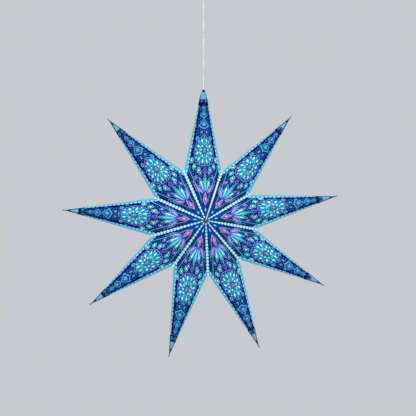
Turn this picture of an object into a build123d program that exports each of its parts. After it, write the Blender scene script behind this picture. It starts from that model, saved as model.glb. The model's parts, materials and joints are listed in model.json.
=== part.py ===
"""Folding paper star lantern on a white flex, with its lamp inside and its ceiling cup.

Millimetres. The origin is the middle of the ceiling bracket's top face, +Z is up, the
star's front faces -Y and the flex hangs along the Z axis.
"""
from build123d import *
import math
import os

os.makedirs("parts", exist_ok=True)

# Paper star: arms are numbered from the top one, anticlockwise as seen from the front
arm_count = 9
tip_radius = 303.0
notch_radius = 116.5
half_depth = 90.0
arm_lean = 4.8
arm_sway = 2.5
arm_stretch = 0.011
card_thickness = 0.4
liner_thickness = 0.15
strip_thickness = 0.2
strip_width = 8.0
strip_start = 22.0
apex_gap = 2.6

# Punched lozenges: places are shares of an even arm's ridge, measured from the star's middle
rosette_holes = 5
rosette_place = 0.505
rosette_ring = 25.0
rosette_hole_length = 9.0
rosette_hole_width = 4.4
fan_place = 0.18
fan_turn = 24.0
fan_reach = 33.0
fan_hole_length = 14.0
fan_hole_width = 4.4

# Seam ties across the back of the valley beside the top arm
tie_places = (0.38, 0.8)
tie_reach = 17.0
tie_patch_radius = 6.0
tie_patch_thickness = 0.3
tie_patch_sides = 8
tie_string_radius = 0.6
tie_end_knot_radius = 1.3
tie_bow_knot_radius = 2.0
tie_tail_length = 16.0
tie_tail_spread = 0.45
tie_tail_droop = 0.4
strand_sides = 6

# Twin flex: two cores side by side
cord_width = 3.7
cord_thickness = 2.3
cord_web = 1.7
cord_clearance = 0.3
free_cord = 205.0
core_radius = 0.6
core_bend = 2.0
seat_gap = 0.1

# Stop that the star's top tip hangs on
stop_wall = 1.3
stop_length = 26.0
stop_gap = 0.3
stop_screw_radius = 1.5
stop_screw_rise = 6.0
stop_screw_inset = 0.6

# Globe lamp with a small screw cap
dome_radius = 22.5
dome_wall = 1.0
dome_seat = 10.0
neck_rise = 22.0
neck_step = 0.65
body_crown = 1.0
lamp_cap_radius = 6.95
lamp_cap_wall = 0.4
lamp_cap_length = 17.0
insulator_length = 3.5
insulator_slope = 3.0
lamp_tip_radius = 2.4
lamp_tip_length = 2.0
board_radius = 16.0
board_thickness = 1.2
chip_count = 6
chip_size = 2.8
chip_thickness = 0.7
chip_circle = 10.5

# Lamp holder
thread_clearance = 0.25
thread_wall = 0.4
thread_inset = 1.0
thread_length = 15.5
insert_wall = 4.3
insert_floor = 6.6
contact_radius = 3.2
contact_thickness = 0.6
contact_gap = 0.3
skirt_gap = 0.3
skirt_wall = 1.6
skirt_overlap = 0.5
lip_clearance = 2.0
lip_thickness = 1.7
rib_count = 14
rib_depth = 0.5
rib_start = 5.0
spigot_length = 1.8
spigot_wall = 1.4
holder_cap_height = 24.0
terminal_length = 4.0
terminal_depth = 5.0
terminal_height = 5.0
terminal_spread = 5.5
terminal_entry = 3.5
terminal_screw_radius = 1.2
terminal_screw_proud = 0.4
boot_shank_wall = 1.8
boot_flange_wall = 3.4
boot_flange_thickness = 1.5
boot_end_wall = 1.0
boot_length = 22.0
cord_tail = 3.0

# Ceiling bracket with the flex's anchor
bracket_width = 18.0
bracket_thickness = 2.0
slot_spacing = 58.0
slot_length = 9.0
slot_width = 4.5
slot_margin = 2.5
bridge_opening = 17.0
bridge_width = 14.0
bridge_sheet = 1.6
bridge_drop = 32.0
bridge_corner = 3.0
window_width = 11.0
window_height = 8.0
clamp_side_gap = 1.5
clamp_depth = 12.0
clamp_height = 10.0
clamp_split = 0.8
clamp_bite = 0.05
clamp_screw_radius = 1.25
clamp_screw_head = 2.3
clamp_screw_head_height = 1.4
cord_rise = 3.0
lead_rise = 6.0
block_thickness = 11.0
block_width = 18.0
block_height = 18.0
block_edge = 1.0
block_entry_rise = 4.0
block_entry_depth = 4.0
block_entry_spread = 3.5
block_screw_radius = 2.0
block_screw_depth = 5.0
block_screw_drop = 3.0
screw_slot_width = 0.6
screw_slot_depth = 0.6

# Ceiling cup that slides on the flex
cup_rim_radius = 46.0
cup_base_radius = 40.0
cup_height = 62.0
cup_wall = 2.0
cup_ceiling_gap = 0.5
cup_corner = 9.0
collar_wall = 3.1
collar_length = 12.0
grip_shank_wall = 2.6
grip_flange_thickness = 2.0
grip_end_wall = 1.0
grip_length = 14.0
cup_screw_radius = 2.0
cup_screw_head = 3.4
cup_screw_head_height = 2.6

front, back = -1, 1
plates = [(face, side) for face in (front, back) for side in (-1, 0)]
on_floor = (Align.CENTER, Align.CENTER, Align.MIN)


# The folded shape: a flat plate on each side of every ridge, front and back

def tip_angle(arm):
    """Direction of an arm in degrees; pulled open by hand, the arms lean a little."""
    turns, place = divmod(arm, arm_count)
    part = math.pi * place / arm_count
    lean = arm_lean * math.sin(part) + arm_sway * math.sin(2 * part)
    return 90 + 360 * (turns + place / arm_count) + lean


def stretch(arm):
    """The arms on the left reach a little further than those on the right."""
    return 1 + arm_stretch * math.sin(2 * math.pi * arm / arm_count)


def spoke(angle, radius):
    turn = math.radians(angle)
    return Vector(radius * math.cos(turn), 0, radius * math.sin(turn))


def tip_point(arm):
    return spoke(tip_angle(arm), tip_radius * stretch(arm))


def notch_point(arm):
    """Outer end of the valley between this arm and the next one round."""
    return spoke((tip_angle(arm) + tip_angle(arm + 1)) / 2, notch_radius * stretch(arm + 0.5))


def plate_points(arm, face, side):
    """Apex, tip and notch of one plate; side 0 faces the next arm and side -1 the last one."""
    return Vector(0, face * half_depth, 0), tip_point(arm), notch_point(arm + side)


def plate_normal(apex, tip, notch):
    """Outward unit normal of the plate through these three points."""
    normal = (tip - apex).cross(notch - apex).normalized()
    return normal if normal.dot(apex) > 0 else normal * -1


def along(start, end, distance):
    return start + (end - start).normalized() * distance


def at_height(start, end, height):
    return start + (end - start) * ((height - start.Z) / (end.Z - start.Z))


def across_valley(apex, tip, notch):
    """Unit step on a plate, square to its valley and away from it."""
    valley = (notch - apex).normalized()
    ridge = tip - apex
    return (ridge - valley * ridge.dot(valley)).normalized()


# Card, liner and strips are shells between copies of the star scaled about its middle
top_plate = plate_points(0, front, 0)
plate_distance = plate_normal(*top_plate).dot(top_plate[0])
card_inside = 1 - card_thickness / plate_distance
liner_inside = card_inside - liner_thickness / plate_distance
strip_inside = liner_inside - strip_thickness / plate_distance


def tip_room(height, scale):
    """Radius of the round bar that just fits inside the top arm at this height."""
    rooms = []
    for face, side in plates:
        points = plate_points(0, face, side)
        normal = plate_normal(*points)
        reach = scale * normal.dot(points[0]) - normal.Z * height
        rooms.append(reach / math.hypot(normal.X, normal.Y))
    return min(rooms)


def height_with_room(room, scale):
    """Height in the top arm at which it is just this roomy; its tip narrows evenly."""
    low, high = (notch_radius + tip_radius) / 2, tip_radius
    loss = tip_room(low, scale) - tip_room(high, scale)
    return low + (high - low) * (tip_room(low, scale) - room) / loss


cord_bore = cord_width / 2 + cord_clearance
tip_height = height_with_room(cord_bore / liner_inside, 1)


def plate_outline(arm, face, side):
    """Corners of one plate, with the apex corner clipped and the top arm cut open."""
    apex, tip, notch = plate_points(arm, face, side)
    ends = [tip]
    if arm == 0:
        ends = [at_height(apex, tip, tip_height), at_height(notch, tip, tip_height)]
    return [along(apex, tip, apex_gap), *ends, notch, along(apex, notch, apex_gap)]


def slab(outline, outer_scale, inner_scale):
    """Solid between two copies of an outline, both scaled about the star's middle."""
    outer = [point * outer_scale for point in outline]
    inner = [point * inner_scale for point in outline]
    faces = [Face(Wire.make_polygon(outer)), Face(Wire.make_polygon(inner))]
    for here in range(len(outline)):
        there = (here + 1) % len(outline)
        edge = [outer[here], outer[there], inner[there], inner[here]]
        faces.append(Face(Wire.make_polygon(edge)))
    return Solid(Shell(faces))


def lozenge(length, width):
    half_length, half_width = length / 2, width / 2
    corners = [(half_length, 0), (0, half_width), (-half_length, 0), (0, -half_width)]
    return Polygon(*corners, align=None)


def punch_pattern():
    """Flat layout of one plate's holes: x runs along the ridge and y across the plate."""
    ridge_length = math.hypot(tip_radius, half_depth)
    petal = Pos(rosette_ring, 0) * lozenge(rosette_hole_length, rosette_hole_width)
    leaf = Pos(fan_reach, 0) * lozenge(fan_hole_length, fan_hole_width)
    rosette_turns = [180 / rosette_holes * (hole + 0.5) for hole in range(rosette_holes)]
    rosette = [Pos(rosette_place * ridge_length, 0) * Rot(0, 0, turn) * petal for turn in rosette_turns]
    fan = Pos(fan_place * ridge_length, 0) * Rot(0, 0, fan_turn) * leaf
    return rosette + [fan]


def plate_punches(arm, face, side):
    """Cutters for the punched holes of one plate."""
    apex, tip, notch = plate_points(arm, face, side)
    plane = Plane(apex, tip - apex, plate_normal(apex, tip, notch))
    holes = punch_pattern()
    if plane.to_local_coords(notch).Y < 0:
        holes = [mirror(hole, Plane.XZ) for hole in holes]
    return extrude(plane * (Sketch() + holes), amount=2 * card_thickness, both=True)


def arm_card(arm):
    """Printed card of one arm: four plates joined at the ridges and edges, then punched."""
    sheets = [slab(plate_outline(arm, face, side), 1, card_inside) for face, side in plates]
    blank = sheets[0].fuse(*sheets[1:])
    punches = [plate_punches(arm, face, side) for face, side in plates]
    return [blank - punches]


def arm_liner(arm):
    """Tissue behind the card, one sheet to each plate."""
    outlines = [plate_outline(arm, face, side) for face, side in plates]
    return [slab(outline, card_inside, liner_inside) for outline in outlines]


def valley_strip(arm):
    """Glued paper hinges inside the front and back valleys after this arm."""
    strips = []
    for face in (front, back):
        halves = []
        for owner, side in ((arm, 0), (arm + 1, -1)):
            apex, tip, notch = plate_points(owner, face, side)
            start = along(apex, notch, strip_start)
            step = across_valley(apex, tip, notch) * strip_width
            outline = [start, notch, notch + step, start + step]
            halves.append(slab(outline, liner_inside, strip_inside))
        strips.append(halves[0].fuse(halves[1]))
    return strips


def rod(start, end, radius):
    length = (end - start).length
    return Plane(start, z_dir=end - start) * Cylinder(radius, length, align=on_floor)


def strand(start, end, radius, sides=strand_sides):
    """Straight piece of string or a paper patch, drawn with a few flat sides."""
    section = Plane(start, z_dir=end - start) * RegularPolygon(radius, sides)
    return extrude(section, amount=(end - start).length)


def tie_anchors(place):
    """Spot and normal of the two patches that hold one tie, on the back of the open seam."""
    seam_arm = arm_count - 1
    anchors = []
    for owner, side in ((seam_arm, 0), (seam_arm + 1, -1)):
        apex, tip, notch = plate_points(owner, back, side)
        spot = apex + (notch - apex) * place + across_valley(apex, tip, notch) * tie_reach
        anchors.append((spot, plate_normal(apex, tip, notch)))
    return anchors


def tie_patches():
    """Eight-sided paper patches that hold the ends of the ties."""
    anchors = [anchor for place in tie_places for anchor in tie_anchors(place)]
    return [strand(spot, spot + normal * tie_patch_thickness, tie_patch_radius, tie_patch_sides)
            for spot, normal in anchors]


def seam_tie(place):
    """String from patch to patch with end knots, a knot in the middle and two loose tails."""
    anchors = tie_anchors(place)
    seats = [spot + normal * tie_patch_thickness for spot, normal in anchors]
    ends = [seat + normal * tie_end_knot_radius for seat, (_, normal) in zip(seats, anchors)]
    middle = (ends[0] + ends[1]) * 0.5
    outward = (anchors[0][1] + anchors[1][1]).normalized()
    sideways = (ends[1] - ends[0]).normalized()
    half_knot = sideways * tie_bow_knot_radius
    tie = strand(ends[0], ends[1], tie_string_radius)
    tie += [strand(seat, end + (end - seat), tie_end_knot_radius) for seat, end in zip(seats, ends)]
    tie += strand(middle - half_knot, middle + half_knot, tie_bow_knot_radius)
    for spread in (-tie_tail_spread, tie_tail_spread):
        heading = (outward + sideways * spread - Vector(0, 0, tie_tail_droop)).normalized()
        tie += strand(middle, middle + heading * tie_tail_length, tie_string_radius)
    return tie


# Stop and lamp, on the Z axis, with heights measured from the star's middle

def turned(*corners):
    """Solid of revolution about Z of a closed outline of (radius, height) corners."""
    return revolve(Plane.XZ * make_face(Polyline(*corners, close=True)), Axis.Z)


def tube(inner, outer, bottom, top):
    return turned((inner, bottom), (outer, bottom), (outer, top), (inner, top))


stop_top = height_with_room(cord_bore + stop_wall + stop_gap, liner_inside)
stop_bottom = stop_top - stop_length
stop_screw_height = stop_bottom + stop_screw_rise


def stop_radius(height):
    return tip_room(height, liner_inside) - stop_gap


def stop_screw_rod(radius, start):
    end = stop_radius(stop_screw_height + stop_screw_radius) - stop_screw_inset
    return rod(Vector(0, -start, stop_screw_height), Vector(0, -end, stop_screw_height), radius)


def cord_stop():
    """Tapered plug inside the top tip, pinched on the flex by a side screw."""
    plug = turned((cord_bore, stop_bottom), (stop_radius(stop_bottom), stop_bottom),
                  (stop_radius(stop_top), stop_top), (cord_bore, stop_top))
    hole_end = Vector(0, -stop_radius(stop_bottom), stop_screw_height)
    return plug - rod(Vector(0, 0, stop_screw_height), hole_end, stop_screw_radius + seat_gap)


def stop_screw():
    """Grub screw whose point bears on the flat of the flex."""
    screw = stop_screw_rod(stop_screw_radius, cord_thickness / 2 + seat_gap)
    slot = Pos(0, -stop_radius(stop_screw_height), stop_screw_height) * Box(
        2 * stop_screw_radius, 2 * (stop_screw_inset + screw_slot_depth), screw_slot_width)
    return screw - slot


seat_radius = math.sqrt(dome_radius ** 2 - dome_seat ** 2)
neck_height = dome_seat + neck_rise
neck_radius = lamp_cap_radius + neck_step
lamp_cap_top = neck_height + lamp_cap_length
insulator_top = lamp_cap_top + insulator_length
lamp_tip_top = insulator_top + lamp_tip_length


def bulb_dome():
    """Opal globe, open where it sits on the lamp's body."""
    inside = dome_radius - dome_wall
    globe = Sphere(dome_radius) - Sphere(inside)
    above = Pos(0, 0, dome_seat) * Cylinder(dome_radius, dome_radius, align=on_floor)
    return globe - above


def bulb_body():
    """Moulded body that swells a little between the dome's seat and the neck."""
    middle = ((seat_radius + neck_radius) / 2 + body_crown, dome_seat + neck_rise / 2)
    plug = lamp_cap_radius - lamp_cap_wall
    outline = Polyline((neck_radius, neck_height), (plug, neck_height), (plug, lamp_cap_top),
                       (0, lamp_cap_top), (0, dome_seat), (seat_radius, dome_seat))
    outline += ThreePointArc((seat_radius, dome_seat), middle, (neck_radius, neck_height))
    return revolve(Plane.XZ * make_face(outline), Axis.Z)


def bulb_cap():
    return tube(lamp_cap_radius - lamp_cap_wall, lamp_cap_radius, neck_height, lamp_cap_top)


def bulb_insulator():
    return turned((0, lamp_cap_top), (lamp_cap_radius - lamp_cap_wall, lamp_cap_top),
                  (lamp_cap_radius - insulator_slope, insulator_top), (0, insulator_top))


def bulb_tip():
    """Bevelled solder button of the lamp's centre contact."""
    button = tube(0, lamp_tip_radius, insulator_top, lamp_tip_top)
    return chamfer(button.edges().sort_by(Axis.Z)[-1], lamp_tip_length / 2)


def led_board():
    return tube(0, board_radius, dome_seat - board_thickness, dome_seat)


def led_chips():
    chip = Box(chip_size, chip_size, chip_thickness)
    height = dome_seat - board_thickness - chip_thickness / 2
    ring = PolarLocations(chip_circle, chip_count)
    return [Pos(0, 0, height) * place * chip for place in ring]


thread_inner = lamp_cap_radius + thread_clearance
thread_outer = thread_inner + thread_wall
insert_radius = thread_outer + seat_gap + insert_wall
skirt_inner = insert_radius + skirt_gap
skirt_outer = skirt_inner + skirt_wall
skirt_bottom = neck_height - skirt_overlap
insert_bottom = skirt_bottom + lip_thickness + seat_gap
thread_bottom = insert_bottom + thread_inset
contact_bottom = lamp_tip_top + contact_gap
socket_floor = contact_bottom + contact_thickness
insert_top = socket_floor + insert_floor
spigot_bottom = insert_top + seat_gap
skirt_top = spigot_bottom + spigot_length
holder_top = skirt_top + holder_cap_height
roof_bottom = holder_top - skirt_wall
boot_shank = cord_bore + boot_shank_wall
boot_flange = cord_bore + boot_flange_wall
boot_bottom = roof_bottom - seat_gap - boot_flange_thickness
boot_top = holder_top + seat_gap + boot_length
cord_bottom = boot_bottom - cord_tail
terminal_top = insert_top + terminal_height
core_place = cord_width / 4


def holder_thread():
    """Pressed brass sleeve that the lamp screws into."""
    return tube(thread_inner, thread_outer, thread_bottom, thread_bottom + thread_length)


def holder_insert():
    """Moulded core with the socket below and a floor that carries the terminals."""
    bore = thread_outer + seat_gap
    return turned((bore, insert_bottom), (insert_radius, insert_bottom), (insert_radius, insert_top),
                  (0, insert_top), (0, socket_floor), (bore, socket_floor))


def holder_contact():
    return tube(0, contact_radius, contact_bottom, socket_floor)


def holder_skirt():
    """Ribbed outer shell with a lip under the core."""
    lip = neck_radius + lip_clearance
    lip_top = skirt_bottom + lip_thickness
    shell = turned((lip, skirt_bottom), (skirt_outer, skirt_bottom), (skirt_outer, skirt_top),
                   (skirt_inner, skirt_top), (skirt_inner, lip_top), (lip, lip_top))
    groove_length = skirt_top - skirt_bottom - 2 * rib_start
    groove_side = rib_depth * math.sqrt(2)
    groove = Rot(0, 0, 45) * Box(groove_side, groove_side, groove_length, align=on_floor)
    grooves = [place * groove for place in PolarLocations(skirt_outer, rib_count)]
    return shell - [Pos(0, 0, skirt_bottom + rib_start) * groove for groove in grooves]


def holder_cap():
    """Domed cover on the skirt, with a spigot inside it and a hole for the boot."""
    inner_top = boot_flange + skirt_gap
    hole = boot_shank + seat_gap
    spigot = skirt_inner - seat_gap
    shell = turned((hole, roof_bottom), (inner_top, roof_bottom), (spigot - spigot_wall, skirt_top),
                   (spigot - spigot_wall, spigot_bottom), (spigot, spigot_bottom), (spigot, skirt_top),
                   (skirt_outer, skirt_top), (inner_top + skirt_wall, holder_top), (hole, holder_top))
    shoulder = shell.edges().filter_by(GeomType.CIRCLE).group_by(Axis.Z)[-1].sort_by(SortBy.RADIUS)[-1]
    return chamfer(shoulder, skirt_wall)


def holder_boot():
    """Soft tapered sleeve that keeps the flex from bending sharply at the holder."""
    shoulder = holder_top + seat_gap
    return turned((cord_bore, boot_bottom), (boot_flange, boot_bottom),
                  (boot_flange, roof_bottom - seat_gap), (boot_shank, roof_bottom - seat_gap),
                  (boot_shank, shoulder), (boot_flange, shoulder),
                  (cord_bore + boot_end_wall, boot_top), (cord_bore, boot_top))


def holder_terminals():
    block = Pos(0, 0, insert_top) * Box(terminal_length, terminal_depth, terminal_height, align=on_floor)
    entry = Pos(0, 0, terminal_top - terminal_entry) * Cylinder(
        core_radius + seat_gap, terminal_entry, align=on_floor)
    screw_height = insert_top + terminal_height / 2
    screw_hole = rod(Vector(0, 0, screw_height), Vector(0, -terminal_depth, screw_height),
                     terminal_screw_radius + seat_gap)
    terminal = block - entry - screw_hole
    return [Pos(x, 0, 0) * terminal for x in (-terminal_spread, terminal_spread)]


def holder_terminal_screws():
    height = insert_top + terminal_height / 2
    head = -terminal_depth / 2 - terminal_screw_proud
    screw = rod(Vector(0, -core_radius - seat_gap, height), Vector(0, head, height), terminal_screw_radius)
    return [Pos(x, 0, 0) * screw for x in (-terminal_spread, terminal_spread)]


def wire(*points):
    """Stiff core bent at these points, drawn with a few flat sides."""
    path = Polyline(*points)
    section = Plane(path @ 0, z_dir=path % 0) * RegularPolygon(core_radius, strand_sides)
    return sweep(section, path, transition=Transition.RIGHT)


def holder_leads():
    """The flex's two cores, spread from its cut end to the terminals."""
    spread_top = cord_bottom - 2 * core_bend
    spread_bottom = terminal_top + 2 * core_bend
    end = terminal_top - terminal_entry + seat_gap
    return [wire((side * core_place, 0, cord_bottom), (side * core_place, 0, spread_top),
                 (side * terminal_spread, 0, spread_bottom), (side * terminal_spread, 0, end))
            for side in (-1, 1)]


# Ceiling pieces, with heights measured down from the ceiling

bridge_bottom = -bracket_thickness - bridge_drop
web_top = bridge_bottom + bridge_sheet
clamp_length = bridge_opening - 2 * clamp_side_gap
clamp_top = web_top + clamp_height
clamp_screw_place = (cord_width / 2 + clamp_length / 2) / 2
cord_top = clamp_top + cord_rise
lead_height = cord_top + lead_rise
leg_outer = bridge_opening / 2 + bridge_sheet
cup_top = -cup_ceiling_gap
cup_bottom = cup_top - cup_height
collar_bottom = cup_bottom - collar_length
grip_shank = cord_bore + grip_shank_wall
collar_radius = grip_shank + seat_gap + collar_wall
grip_bottom = collar_bottom - grip_flange_thickness - grip_length
star_drop = -grip_bottom + free_cord + tip_height


def ceiling_bracket():
    """Steel strip with two slots for ceiling screws and a bridge that the flex passes through."""
    length = slot_spacing + slot_length + 2 * slot_margin
    strip = Pos(0, 0, -bracket_thickness) * Box(length, bracket_width, bracket_thickness, align=on_floor)
    slot = Pos(0, 0, -2 * bracket_thickness) * extrude(
        SlotOverall(slot_length, slot_width), amount=3 * bracket_thickness)
    strip -= [Pos(x, 0, 0) * slot for x in (-slot_spacing / 2, slot_spacing / 2)]
    outside = Pos(0, 0, bridge_bottom) * Box(2 * leg_outer, bridge_width, bridge_drop, align=on_floor)
    outside = fillet(outside.edges().filter_by(Axis.Y).group_by(Axis.Z)[0], bridge_corner)
    inside = Pos(0, 0, web_top) * Box(bridge_opening, 2 * bridge_width, bridge_drop, align=on_floor)
    inside = fillet(inside.edges().filter_by(Axis.Y).group_by(Axis.Z)[0], bridge_corner - bridge_sheet)
    cord_hole = Pos(0, 0, bridge_bottom) * Cylinder(cord_bore, 2 * bridge_sheet)
    window = Pos(leg_outer, 0, lead_height) * Box(4 * bridge_sheet, window_width, window_height)
    return strip + (outside - inside - cord_hole - window)


def cord_clamp():
    """Two moulded jaws on the bridge's floor, squeezed on the flex by two screws."""
    jaws = Pos(0, 0, web_top) * Box(clamp_length, clamp_depth, clamp_height, align=on_floor)
    jaws -= Pos(0, 0, web_top) * Box(clamp_length, clamp_split, clamp_height, align=on_floor)
    channel = SlotOverall(cord_width + 2 * clamp_bite, cord_thickness + 2 * clamp_bite)
    jaws -= Pos(0, 0, web_top) * extrude(channel, amount=clamp_height)
    height = web_top + clamp_height / 2
    for x in (-clamp_screw_place, clamp_screw_place):
        ends = Vector(x, -clamp_depth, height), Vector(x, clamp_depth, height)
        jaws -= rod(*ends, clamp_screw_radius + seat_gap)
    return jaws.solids()


def clamp_screws():
    height = web_top + clamp_height / 2
    face = -clamp_depth / 2
    screws = []
    for x in (-clamp_screw_place, clamp_screw_place):
        shank = rod(Vector(x, face, height), Vector(x, -face, height), clamp_screw_radius)
        head_end = Vector(x, face - clamp_screw_head_height, height)
        screws.append(shank + rod(Vector(x, face, height), head_end, clamp_screw_head))
    return screws


def block_centre():
    return Vector(leg_outer + block_thickness / 2, 0, lead_height - block_entry_rise)


def terminal_block():
    """Two-pole connector on the bridge's leg, with wire entries and screw wells."""
    block = Pos(block_centre()) * Box(block_thickness, block_width, block_height)
    block = chamfer(block.faces().sort_by(Axis.X)[-1].edges(), block_edge)
    face = leg_outer + block_thickness
    screw_height = block_centre().Z - block_screw_drop
    for y in (-block_entry_spread, block_entry_spread):
        entry_end = Vector(leg_outer + block_entry_depth, y, lead_height)
        block -= rod(Vector(leg_outer, y, lead_height), entry_end, core_radius + 2 * seat_gap)
        well_end = Vector(face - block_screw_depth, y, screw_height)
        block -= rod(Vector(face, y, screw_height), well_end, block_screw_radius + seat_gap)
    return block


def terminal_screws():
    face = leg_outer + block_thickness
    height = block_centre().Z - block_screw_drop
    screws = []
    for y in (-block_entry_spread, block_entry_spread):
        head = Vector(face - block_edge, y, height)
        screws.append(rod(Vector(face - block_screw_depth, y, height), head, block_screw_radius))
    return screws


def ceiling_leads():
    """The flex's two cores, bent over from its top end through the leg's window."""
    bend = leg_outer / 2
    end = leg_outer + block_entry_depth - seat_gap
    return [wire((side * core_place, 0, cord_top), (side * core_place, 0, lead_height),
                 (bend, side * block_entry_spread, lead_height),
                 (end, side * block_entry_spread, lead_height))
            for side in (-1, 1)]


def cord():
    """The whole flex, from its anchor at the ceiling to the lamp holder inside the star."""
    centre = (cord_width - cord_thickness) / 2
    section = Rectangle(2 * centre, cord_web)
    section += [Pos(x, 0) * Circle(cord_thickness / 2) for x in (-centre, centre)]
    bottom = cord_bottom - star_drop
    return Pos(0, 0, bottom) * extrude(section, amount=cord_top - bottom)


def cup_screw_height():
    return collar_bottom + collar_length / 2


def canopy_cup():
    """Drafted white cup over the bracket, with a collar for the grip."""
    bore = grip_shank + seat_gap
    floor = cup_bottom + cup_wall
    section = Plane.XZ * make_face(Polyline(
        (bore, collar_bottom), (collar_radius, collar_bottom), (collar_radius, cup_bottom),
        (cup_base_radius, cup_bottom), (cup_rim_radius, cup_top), (cup_rim_radius - cup_wall, cup_top),
        (cup_base_radius - cup_wall, floor), (bore, floor), close=True))
    outer_corner = section.vertices().sort_by_distance((cup_base_radius, 0, cup_bottom))[0]
    section = fillet(outer_corner, cup_corner)
    inner_corner = section.vertices().sort_by_distance((cup_base_radius - cup_wall, 0, floor))[0]
    section = chamfer(inner_corner, cup_corner / 2)
    screw_hole = rod(Vector(0, 0, cup_screw_height()), Vector(2 * collar_radius, 0, cup_screw_height()),
                     cup_screw_radius + seat_gap)
    return revolve(section, Axis.Z) - screw_hole


def canopy_grip():
    """Soft bush in the collar that tapers down along the flex."""
    flange_bottom = collar_bottom - grip_flange_thickness
    return turned((cord_bore, cup_bottom), (grip_shank, cup_bottom), (grip_shank, collar_bottom),
                  (collar_radius, collar_bottom), (collar_radius, flange_bottom),
                  (grip_shank, flange_bottom), (cord_bore + grip_end_wall, grip_bottom),
                  (cord_bore, grip_bottom))


def canopy_screw():
    """Thumb screw through the collar that pinches the grip."""
    height = cup_screw_height()
    head_start = collar_radius + seat_gap
    head_end = Vector(head_start + cup_screw_head_height, 0, height)
    shank = rod(Vector(grip_shank + seat_gap, 0, height), head_end, cup_screw_radius)
    head = rod(Vector(head_start, 0, height), head_end, cup_screw_head)
    slot = Pos(head_end) * Box(2 * screw_slot_depth, 2 * cup_screw_head, 2 * screw_slot_width)
    return shank + head - slot


def save(name, solids):
    """Write one piece, or a group of like pieces, under its name."""
    export_step(Compound(children=list(solids)), f"parts/{name}.step")


def save_star(name, solids):
    """The same for what is measured from the star's middle."""
    save(name, [Pos(0, 0, -star_drop) * solid for solid in solids])


for arm in range(arm_count):
    save_star(f"arm_card_{arm + 1}", arm_card(arm))
    save_star(f"arm_liner_{arm + 1}", arm_liner(arm))
for arm in range(arm_count - 1):
    save_star(f"valley_strip_{arm + 1}", valley_strip(arm))
save_star("tie_patches", tie_patches())
save_star("seam_ties", [seam_tie(place) for place in tie_places])

save_star("cord_stop", [cord_stop()])
save_star("stop_screw", [stop_screw()])
save_star("bulb_dome", [bulb_dome()])
save_star("bulb_body", [bulb_body()])
save_star("bulb_cap", [bulb_cap()])
save_star("bulb_insulator", [bulb_insulator()])
save_star("bulb_tip", [bulb_tip()])
save_star("led_board", [led_board()])
save_star("led_chips", led_chips())
save_star("holder_thread", [holder_thread()])
save_star("holder_insert", [holder_insert()])
save_star("holder_contact", [holder_contact()])
save_star("holder_skirt", [holder_skirt()])
save_star("holder_cap", [holder_cap()])
save_star("holder_boot", [holder_boot()])
save_star("holder_terminals", holder_terminals())
save_star("holder_terminal_screws", holder_terminal_screws())
save_star("holder_leads", holder_leads())

save("cord", [cord()])
save("ceiling_bracket", [ceiling_bracket()])
save("cord_clamp", cord_clamp())
save("clamp_screws", clamp_screws())
save("terminal_block", [terminal_block()])
save("terminal_screws", terminal_screws())
save("ceiling_leads", ceiling_leads())
save("canopy_cup", [canopy_cup()])
save("canopy_grip", [canopy_grip()])
save("canopy_screw", [canopy_screw()])

print("star middle below the ceiling", round(star_drop, 2), "top tip above it", round(tip_height, 2))
print("stop", round(stop_bottom, 2), round(stop_top, 2), "holder top", round(boot_top, 2))
print("flex from", round(cord_top, 2), "to", round(cord_bottom - star_drop, 2))
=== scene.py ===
import json
import math
import bmesh
import bpy
from mathutils import Matrix, Vector


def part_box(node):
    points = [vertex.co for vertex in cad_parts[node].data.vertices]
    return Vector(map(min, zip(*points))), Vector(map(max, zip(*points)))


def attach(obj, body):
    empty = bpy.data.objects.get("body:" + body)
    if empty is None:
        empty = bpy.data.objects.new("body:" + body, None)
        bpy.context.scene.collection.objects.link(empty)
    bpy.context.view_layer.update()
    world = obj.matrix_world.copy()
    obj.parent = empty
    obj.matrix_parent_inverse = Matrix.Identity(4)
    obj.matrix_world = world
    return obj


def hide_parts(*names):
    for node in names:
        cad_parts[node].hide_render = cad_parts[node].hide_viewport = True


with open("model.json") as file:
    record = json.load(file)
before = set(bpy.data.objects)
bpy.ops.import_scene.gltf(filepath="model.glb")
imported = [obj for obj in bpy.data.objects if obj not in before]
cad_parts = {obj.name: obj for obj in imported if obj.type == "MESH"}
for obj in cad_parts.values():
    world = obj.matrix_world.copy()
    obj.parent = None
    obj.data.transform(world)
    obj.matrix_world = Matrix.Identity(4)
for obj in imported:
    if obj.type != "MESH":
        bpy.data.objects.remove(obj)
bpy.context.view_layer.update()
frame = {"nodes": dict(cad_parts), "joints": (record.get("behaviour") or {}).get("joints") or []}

# Ceiling bracket and small screws: mild steel strip, stamped, bent and zinc plated. The bracket is
# screwed to the ceiling, and the other screws pinch the flex and its cores.
MM = 0.001


def srgb(code):
    """Linear colour of an sRGB hex code such as #14246e."""
    parts = [int(code[at:at + 2], 16) / 255 for at in (1, 3, 5)]
    return [p / 12.92 if p <= 0.04045 else ((p + 0.055) / 1.055) ** 2.4 for p in parts] + [1.0]


def connect(tree, node, inputs):
    """Links sockets or nodes to a node's inputs and writes plain values into them."""
    pairs = inputs.items() if isinstance(inputs, dict) else enumerate(inputs)
    for name, value in pairs:
        source = value.outputs[0] if isinstance(value, bpy.types.Node) else value
        if isinstance(source, bpy.types.NodeSocket):
            tree.links.new(source, node.inputs[name])
        else:
            node.inputs[name].default_value = source


def add(tree, kind, inputs=(), **settings):
    """Adds a shader node with its settings and links, and returns it."""
    node = tree.nodes.new("ShaderNode" + kind)
    for name, value in settings.items():
        setattr(node, name, value)
    connect(tree, node, inputs)
    return node


def new_finish(name):
    """A new material with its node tree, its shader and the place on the piece."""
    material = bpy.data.materials.new(name)
    material.use_nodes = True
    tree = material.node_tree
    return material, tree, tree.nodes["Principled BSDF"], add(tree, "TexCoord").outputs["Object"]


def dress(material, *names):
    """Gives CAD nodes this material in place of the plain one they came with."""
    for name in names:
        slots = frame["nodes"][name].data.materials
        slots.clear()
        slots.append(material)


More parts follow.
